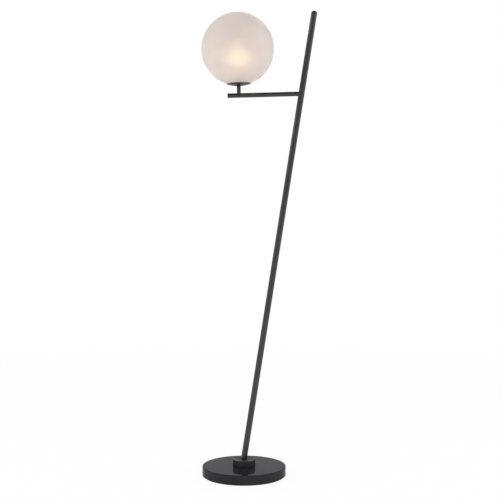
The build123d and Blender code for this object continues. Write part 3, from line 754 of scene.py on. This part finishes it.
# The collar's lacquer carries a painted highlight on its rim chamfer.
collar_lacquer_painted_highlight = make_dark_lacquer("collar_lacquer_painted_highlight", sheen=0.58, rim=True)
dish_lacquer = make_dark_lacquer("dish_lacquer", lining=True)
for part in frame["record"]["subparts"]:
    node = frame["nodes"][part["node"]]
    for slot in node.material_slots:
        slot.material = finishes[part["material_slot"]]


def fitted(piece, body, slot, node, angle=35.0, coat=None):
    """Gives a piece its finish and its body, and lets it stand for its CAD node."""
    chosen(piece)
    bpy.ops.object.shade_smooth_by_angle(angle=radians(angle))
    flats = piece.modifiers.new("flats", "WEIGHTED_NORMAL")
    flats.keep_sharp = True
    bpy.ops.object.modifier_apply(modifier=flats.name)
    piece.data.materials.clear()
    piece.data.materials.append(coat or finishes[slot])
    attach(piece, body)
    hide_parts(node)


# Pieces of the base

def make_slab():
    ceiling = slab_low + SLAB_RECESS_DEPTH
    side_low = grommet_foot.z - grommet_radius - GROMMET_BAND
    side_high = grommet_foot.z + grommet_radius + GROMMET_BAND
    under = [(0, ceiling), (SLAB_RECESS, ceiling), (SLAB_RECESS, slab_low),
             (slab_radius - SLAB_FOOT, slab_low), (slab_radius, slab_low + SLAB_FOOT)]
    side = [(slab_radius, side_low), (slab_radius, side_high)]
    corner = (slab_radius - SLAB_EDGE, slab_high - SLAB_EDGE)
    edge = arc(corner, SLAB_EDGE, 0, pi / 2, steps=6)
    top = [(collar_radius - SLAB_UNDER_COLLAR, slab_high), (0, slab_high)]
    slab = turned("stone_slab", held(under + side + edge + top), steps=256)
    above = Vector((0, 0, slab_high + DRILL_PAST))
    drilled(slab, NIPPLE_HOLE + SLAB_HOLE_ROOM, floor_point, above)
    inward = grommet_foot - backward * CORD_RUN_IN
    outward = grommet_foot + backward * CORD_RUN_OUT
    drilled(slab, GROMMET_BUSH + FIT, inward, outward)
    seat = grommet_foot + backward * (grommet_length - GROMMET_FLANGE)
    drilled(slab, grommet_radius + FIT, seat, seat + backward * (2 * DRILL_PAST))
    fitted(slab, "stand", "stone", "base_slab")


def make_felt():
    bpy.ops.object.select_all(action="DESELECT")
    bpy.ops.mesh.primitive_cylinder_add(
        vertices=192, radius=felt_radius, depth=felt_high - felt_low,
        location=(0, 0, (felt_low + felt_high) / 2))
    felt = started("felt_pad")
    pick_edges(felt, lambda point: point.z < felt_low + TOLERANCE)
    rounded(FELT_EDGE, segments=3)
    fitted(felt, "stand", "felt", "base_felt")


def make_grommet():
    bush = GROMMET_BUSH
    flange = grommet_length - GROMMET_FLANGE
    outline = [(CORD_HOLE, 0), (bush, 0), (bush, flange), (grommet_radius, flange),
               (grommet_radius, grommet_length), (CORD_HOLE, grommet_length)]
    grommet = turned("cord_grommet", ring(outline), steps=64)
    eased(GROMMET_EDGE, segments=3)
    set_up(grommet, grommet_foot, backward)
    fitted(grommet, "stand", "black_rubber", "cable_grommet")


def make_collar():
    outline = [(0, collar_low), (collar_radius - COLLAR_FOOT, collar_low),
               (collar_radius, collar_low + COLLAR_FOOT), (collar_radius, collar_high - COLLAR_RIM),
               (collar_radius - COLLAR_RIM, collar_high), (pole_radius + COLLAR_LAND, collar_high),
               (0, collar_high)]
    collar = turned("base_collar_turned", held(outline, FINE_HOLD), steps=160)
    eased(COLLAR_EDGE, segments=2)
    socket = pole_foot + pole_up * pole_low
    above = pole_foot + pole_up * (2 * DRILL_PAST)
    drilled(collar, pole_radius + FIT, socket, above, vertices=96)
    below = Vector((0, 0, collar_low - DRILL_PAST))
    drilled(collar, NIPPLE_HOLE, below, Vector((0, 0, collar_low + COLLAR_FLOOR)))
    drilled(collar, SCREW_HOLE, screw_centre, screw_centre + backward * DRILL_LONG)
    fitted(collar, "stand", "bronze_lacquer", "base_collar", coat=collar_lacquer_painted_highlight)


# Pole and arm

def make_pole():
    bore = pole_radius - POLE_WALL
    hole_low = pole_to_arm - ARM_HOLE_BAND
    hole_high = pole_to_arm + ARM_HOLE_BAND
    outline = [(bore, pole_low), (pole_radius, pole_low),
               (pole_radius, hole_low), (pole_radius, hole_high),
               (pole_radius, pole_high - HAIRLINE), (pole_radius - HAIRLINE, pole_high),
               (bore, pole_high), (bore, hole_high), (bore, hole_low)]
    pole = turned("pole_turned", held(ring(outline)))
    set_up(pole, pole_foot, pole_up)
    drilled(pole, NIPPLE_HOLE, arm_root, arm_root + arm_out * DRILL_SHORT)
    fitted(pole, "stand", "bronze_lacquer", "pole_tube")


def make_pole_dome():
    plug = pole_radius - POLE_WALL - FIT
    outline = [(0, spigot_low), (plug, spigot_low), (plug, pole_high),
               (pole_radius - HAIRLINE, pole_high)]
    dome = arc((0, pole_high), pole_radius, HAIRLINE / pole_radius, pi / 2, steps=24)
    tip = turned("pole_dome", outline + dome)
    set_up(tip, pole_foot, pole_up)
    fitted(tip, "stand", "bronze_lacquer", "pole_tip")


def make_arm():
    outline = [(ARM_BORE, 0), (arm_radius, 0), (arm_radius, pole_radius + COPE_ROOM),
               (arm_radius, stem_reach - STEM_HOLE_BAND), (arm_radius, stem_reach + STEM_HOLE_BAND),
               (arm_radius, arm_high - HAIRLINE), (arm_radius - HAIRLINE, arm_high),
               (ARM_BORE, arm_high)]
    arm = turned("arm_turned", held(ring(outline)))
    set_up(arm, arm_root, arm_out)
    half = pole_up * DRILL_LONG
    drilled(arm, pole_radius, arm_root - half, arm_root + half, vertices=96)
    drilled(arm, NIPPLE_HOLE, arm_root, arm_root + arm_out * ARM_THREAD)
    drilled(arm, NIPPLE_HOLE, stem_foot, stem_foot + head_up * DRILL_SHORT)
    fitted(arm, "stand", "bronze_lacquer", "arm_bar")


def make_arm_cap():
    plug = ARM_BORE - FIT
    joint = arm_high
    outline = [(0, cap_low), (plug, cap_low), (plug, joint), (arm_radius - HAIRLINE, joint),
               (arm_radius, joint + HAIRLINE), (arm_radius, cap_high), (0, cap_high)]
    cap = turned("arm_cap", held(outline, FINE_HOLD))

    def on_rim(point):
        return point.z > cap_high - TOLERANCE and point.xy.length > arm_radius - TOLERANCE

    pick_edges(cap, on_rim)
    rounded(ARM_CAP_EDGE, segments=4)
    set_up(cap, arm_root, arm_out)
    fitted(cap, "stand", "bronze_lacquer", "arm_end_cap")


# Stem, dish and globe

def make_stem():
    outline = [(NIPPLE_HOLE, 0), (stem_radius, 0), (stem_radius, arm_radius + SADDLE_ROOM),
               (stem_radius, stem_high - HAIRLINE), (stem_radius - HAIRLINE, stem_high),
               (NIPPLE_HOLE, stem_high)]
    stem = turned("stem_turned", held(ring(outline)))
    set_up(stem, stem_foot, head_up)
    half = arm_out * DRILL_SHORT
    drilled(stem, arm_radius, stem_foot - half, stem_foot + half, vertices=96)
    fitted(stem, "stand", "bronze_lacquer", "stem_tube")


def make_dish():
    outer = sqrt((globe_centre - dish_low) ** 2 + DISH_LAND ** 2)
    inner = outer - DISH_WALL
    rim = asin(dish_radius / outer) - pi / 2
    land = asin(DISH_LAND / outer) - pi / 2
    floor = asin(DISH_FLOOR / inner) - pi / 2
    outside = arc((0, globe_centre), outer, land, rim, steps=24)
    inside = arc((0, globe_centre), inner, rim, floor, steps=12)
    floor_height = inside[-1][1]
    bore = [(NIPPLE_HOLE, floor_height), (NIPPLE_HOLE, dish_low)]
    dish = turned("globe_dish", ring(outside + inside + bore), steps=128)
    eased(DISH_LIP, segments=3)
    set_up(dish, stem_foot, head_up)
    fitted(dish, "stand", "bronze_lacquer", "gallery_dish", angle=50.0, coat=dish_lacquer)


def make_globe():
    opening = asin(GLOBE_OPENING / globe_radius) - pi / 2
    outside = arc((0, globe_centre), globe_radius, opening, pi / 2, steps=72)
    inside = arc((0, globe_centre), globe_radius - GLOBE_WALL, pi / 2, opening, steps=72)
    globe = turned("globe_glass", ring(outside + inside), steps=160)
    eased(GLOBE_LIP, segments=4)
    set_up(globe, stem_foot, head_up)
    fitted(globe, "globe", "frosted_glass", "globe_shade", angle=50.0)


# Lampholder and bulb

def make_holder_cap():
    bore = holder_radius - HOLDER_WALL
    narrow = bore - HOLDER_STEP
    flank = holder_low + HOLDER_FLANK
    floor = holder_low + HOLDER_FLOOR
    outline = [(NIPPLE_HOLE, holder_low), (HOLDER_FOOT, holder_low), (holder_radius, flank),
               (holder_radius, holder_high), (bore, holder_high), (bore, insert_low),
               (narrow, insert_low), (narrow, flank),
               (HOLDER_FOOT - HOLDER_WALL, floor), (NIPPLE_HOLE, floor)]
    cap = turned("holder_cap_moulded", ring(outline))
    eased(HOLDER_EDGE, segments=3)
    set_up(cap, stem_foot, head_up)
    fitted(cap, "stand", "holder_white", "holder_cap")


def make_holder_skirt():
    bore = holder_radius - HOLDER_WALL
    rim_low = skirt_high - HOLDER_RIM
    band_low = skirt_low + GRIP_START
    band_high = skirt_high - GRIP_END
    outline = [(holder_radius, skirt_low), (holder_radius, band_low), (holder_radius, band_high),
               (holder_radius, skirt_high), (HOLDER_MOUTH, skirt_high),
               (HOLDER_MOUTH, rim_low), (bore, rim_low), (bore, skirt_low)]
    skirt = turned("holder_skirt_moulded", ring(outline), steps=GRIP_COLUMNS)

    def in_groove(centre):
        column = int((atan2(centre.y, centre.x) / (2 * pi) + 0.5) * GRIP_COLUMNS)
        outer = centre.xy.length > holder_radius - HOLDER_WALL / 2
        return outer and band_low < centre.z < band_high and column % GRIP_PITCH in (0, 1)

    pick_faces(skirt, in_groove)
    bpy.ops.mesh.inset(thickness=GRIP_INSET, depth=-GRIP_DEPTH)
    bpy.ops.object.mode_set(mode="OBJECT")
    eased(GRIP_EDGE, segments=2)
    set_up(skirt, stem_foot, head_up)
    fitted(skirt, "stand", "holder_white", "holder_skirt")


def make_bulb_ball():
    centre = ball_high - ball_radius
    side = BULB_NECK + BULB_NECK_ROUND
    drop = sqrt((ball_radius + BULB_NECK_ROUND) ** 2 - side ** 2)
    meet = atan2(drop, -side)

    def wall(inset):
        neck = arc((side, centre - drop), BULB_NECK_ROUND + inset, pi, meet, steps=12)
        ball = arc((0, centre), ball_radius - inset, meet - pi, pi / 2, steps=40)
        return [(BULB_NECK - inset, ball_low)] + neck + ball[1:]

    ball = turned("bulb_ball", ring(wall(0) + wall(BULB_WALL)[::-1]), steps=128)
    set_up(ball, stem_foot, head_up)
    fitted(ball, "bulb", "bulb_opal", "bulb_envelope", angle=50.0)


def make_bulb_cap():
    middle = shell_radius - THREAD_DEPTH / 2
    start = shell_low - THREAD_PITCH
    wave = []
    for point in range(THREAD_POINTS + 1):
        share = point / THREAD_POINTS
        radius = middle + (shell_radius - middle) * cos(2 * pi * share)
        wave.append((radius, start + THREAD_PITCH * share))
    cap = drawn("bulb_screw_cap", wave)
    bpy.ops.object.mode_set(mode="OBJECT")
    helix = cap.modifiers.new("thread", "SCREW")
    helix.angle = 2 * pi
    helix.screw_offset = THREAD_PITCH
    helix.iterations = int((shell_high - shell_low) / THREAD_PITCH) + 3
    helix.steps = THREAD_STEPS
    helix.render_steps = THREAD_STEPS
    bpy.ops.object.modifier_apply(modifier=helix.name)
    low_cut = shell_low + SHELL_FOOT
    high_cut = shell_high - SHELL_RIM
    bpy.ops.object.mode_set(mode="EDIT")
    bpy.ops.mesh.select_all(action="SELECT")
    bpy.ops.mesh.remove_doubles(threshold=TOLERANCE)
    bpy.ops.mesh.bisect(plane_co=(0, 0, low_cut), plane_no=(0, 0, 1), clear_inner=True)
    bpy.ops.mesh.select_all(action="SELECT")
    bpy.ops.mesh.bisect(plane_co=(0, 0, high_cut), plane_no=(0, 0, 1), clear_outer=True)
    bpy.ops.mesh.select_all(action="SELECT")
    bpy.ops.mesh.normals_make_consistent(inside=False)
    bpy.ops.object.mode_set(mode="OBJECT")
    pick_edges(cap, lambda point: point.z > high_cut - TOLERANCE)
    rise = (0, 0, shell_high - high_cut)
    bpy.ops.mesh.extrude_region_move(TRANSFORM_OT_translate={"value": rise})
    pick_edges(cap, lambda point: point.z < low_cut + TOLERANCE)
    drop = (0, 0, shell_low - low_cut)
    bpy.ops.mesh.extrude_region_move(TRANSFORM_OT_translate={"value": drop})
    taper = (SHELL_TAPER, SHELL_TAPER, 1)
    bpy.ops.transform.resize(value=taper, center_override=(0, 0, shell_low))
    bpy.ops.object.mode_set(mode="OBJECT")
    wall = cap.modifiers.new("wall", "SOLIDIFY")
    wall.thickness = SHELL_WALL
    wall.offset = -1
    bpy.ops.object.modifier_apply(modifier=wall.name)
    set_up(cap, stem_foot, head_up)
    fitted(cap, "bulb", "bulb_metal", "bulb_cap", angle=50.0)


make_slab()
make_felt()
make_grommet()
make_collar()
make_pole()
make_pole_dome()
make_arm()
make_arm_cap()
make_stem()
make_dish()
make_globe()
make_holder_cap()
make_holder_skirt()
make_bulb_ball()
make_bulb_cap()


# Studio

def seen_directly(tree):
    """1 for rays from the camera and for those that mirror or pass glass, otherwise 0."""
    path = tree.nodes.new("ShaderNodeLightPath").outputs
    direct = maths(tree, "MAXIMUM", path["Is Camera Ray"], path["Is Glossy Ray"])
    return maths(tree, "MAXIMUM", direct, path["Is Transmission Ray"])


def lay_floor():
    """White floor that takes the lamp's shadow near it and fades into the backdrop farther out."""
    bpy.ops.object.select_all(action="DESELECT")
    bpy.ops.mesh.primitive_plane_add(size=FLOOR_SIZE, location=(0, 0, -FLOOR_GAP))
    floor = started("floor")
    material = bpy.data.materials.new("studio_floor")
    material.use_nodes = True
    tree = material.node_tree
    tree.nodes.remove(tree.nodes["Principled BSDF"])
    place = tree.nodes.new("ShaderNodeTexCoord").outputs["Object"]
    far = distance(tree, place, floor_point)
    strength = ranged(tree, far, FADE_START, FADE_END, 0.93, 1.0)
    white = add(tree, "ShaderNodeEmission", {"Strength": strength}, "Emission")
    grey = ranged(tree, far, FADE_START, FADE_END, 0.12, 0.0)
    shaded = add(tree, "ShaderNodeBsdfDiffuse", {"Color": grey}, "BSDF")
    shown = tree.nodes.new("ShaderNodeAddShader")
    tree.links.new(white, shown.inputs[0])
    tree.links.new(shaded, shown.inputs[1])
    plain = add(tree, "ShaderNodeBsdfDiffuse", {"Color": FLOOR_WHITE}, "BSDF")
    surface = blended(tree, seen_directly(tree), plain, shown.outputs[0])
    tree.links.new(surface, tree.nodes["Material Output"].inputs["Surface"])
    floor.data.materials.append(material)


def light_studio():
    """White all round, dimmer overhead and behind the camera, with a soft box at each side."""
    world = bpy.data.worlds.new("studio")
    bpy.context.scene.world = world
    world.use_nodes = True
    tree = world.node_tree
    direction = tree.nodes.new("ShaderNodeTexCoord").outputs["Generated"]
    overhead = ranged(tree, part_of(tree, direction, "Z"), 0.45, 0.9, 1.0, 0.2)
    behind = ranged(tree, part_of(tree, direction, "Y"), -0.2, -0.95, 1.0, 0.55)
    level = product(tree, overhead, behind)
    seen = tree.nodes.new("ShaderNodeLightPath").outputs["Is Camera Ray"]
    backdrop = maths(tree, "MAXIMUM", level, seen)
    plain = tree.nodes["Background"]
    plain.inputs["Color"].default_value = WHITE
    tree.links.new(product(tree, level, 0.8), plain.inputs["Strength"])
    shown = add(tree, "ShaderNodeBackground", {"Color": WHITE, "Strength": backdrop}, "Background")
    surface = blended(tree, seen_directly(tree), plain.outputs["Background"], shown)
    tree.links.new(surface, tree.nodes["World Output"].inputs["Surface"])
    for name, side in (("soft_box_left", -SOFT_BOX_SIDE), ("soft_box_right", SOFT_BOX_SIDE)):
        bpy.ops.object.select_all(action="DESELECT")
        bpy.ops.object.light_add(type="AREA", location=(side, SOFT_BOX_FRONT, SOFT_BOX_HEIGHT))
        soft = bpy.context.object
        soft.name = name
        soft.data.shape = "DISK"
        soft.data.size = SOFT_BOX_SIZE
        soft.data.energy = SOFT_BOX_ENERGY
        aim = SOFT_BOX_AIM - soft.location
        soft.rotation_euler = aim.to_track_quat("-Z", "Y").to_euler()


def set_camera():
    bpy.ops.object.select_all(action="DESELECT")
    bpy.ops.object.camera_add(location=CAMERA_PLACE, rotation=(CAMERA_TILT, 0, 0))
    camera = bpy.context.object
    camera.name = "camera"
    camera.data.lens = CAMERA_LENS
    camera.data.sensor_width = CAMERA_SENSOR
    bpy.context.scene.camera = camera


lay_floor()
light_studio()
set_camera()
bpy.context.scene.view_settings.view_transform = "Standard"
